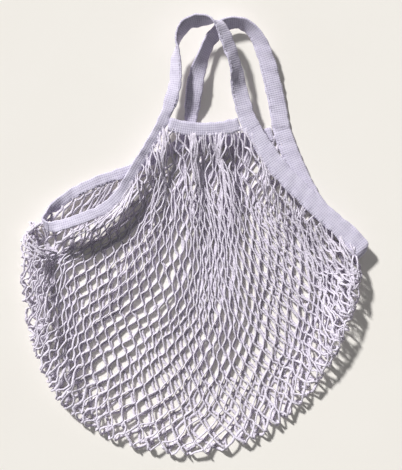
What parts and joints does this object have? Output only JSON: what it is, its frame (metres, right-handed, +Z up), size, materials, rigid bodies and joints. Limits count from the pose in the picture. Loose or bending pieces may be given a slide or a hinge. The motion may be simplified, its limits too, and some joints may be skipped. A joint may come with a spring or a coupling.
{
  "type": "mesh produce bag",
  "caption": "Cotton string bag of diamond netting gathered into short yokes, with an endless knitted tape that binds the mouth and forms two looped handles, lying flat.",
  "frame": {"origin": "centre of the bag's footprint on the surface it lies on", "axes": "+Y from the bottom fold towards the handles, +Z up from the surface, +X to the right seen from above"},
  "size_m": [0.3826, 0.4753, 0.0382],
  "materials": {
    "net_cord": "twisted cotton cord, matte",
    "tape": "fine rib-knit cotton, matte",
    "thread": "cotton sewing thread, matte"
  },
  "bodies": {
    "bag_body": {"back_net": "net_cord", "front_net_lower": "net_cord", "net_fold_cords": "net_cord", "back_yoke": "tape", "back_right_binding": "tape", "back_left_binding": "tape", "left_tape_turn": "tape", "right_tape_turn": "tape", "front_left_rim": "tape", "front_right_binding_lower": "tape", "back_yoke_stitching": "thread", "front_right_stitching_lower": "thread", "back_left_stitching": "thread", "back_right_stitching": "thread", "back_bar_tacks": "thread"},
    "mouth_front": {"front_net_upper": "net_cord", "front_yoke": "tape", "front_left_binding": "tape", "front_right_binding_upper": "tape", "front_yoke_stitching": "thread", "front_left_stitching": "thread", "front_right_stitching_upper": "thread", "front_bar_tacks": "thread"},
    "handle_front": {"front_handle": "tape", "front_handle_stitching": "thread"},
    "handle_back": {"back_handle": "tape", "back_handle_stitching": "thread"}
  },
  "joints": [
    {"name": "mouth_open", "type": "hinge", "parent": "bag_body", "child": "mouth_front", "pos_m": [0, 0.045, 0.017], "axis": [1, 0, 0], "range_deg": [0, 70]},
    {"name": "front_handle_lift", "type": "hinge", "parent": "mouth_front", "child": "handle_front", "pos_m": [0, 0.131, 0.017], "axis": [1, 0, 0], "range_deg": [0, 100]},
    {"name": "back_handle_lift", "type": "hinge", "parent": "bag_body", "child": "handle_back", "pos_m": [0, 0.134, 0.004], "axis": [1, 0, 0], "range_deg": [0, 85]}
  ],
  "couplings": [
    {"joint": "back_handle_lift", "follows": "front_handle_lift", "ratio": 0.85}
  ]
}
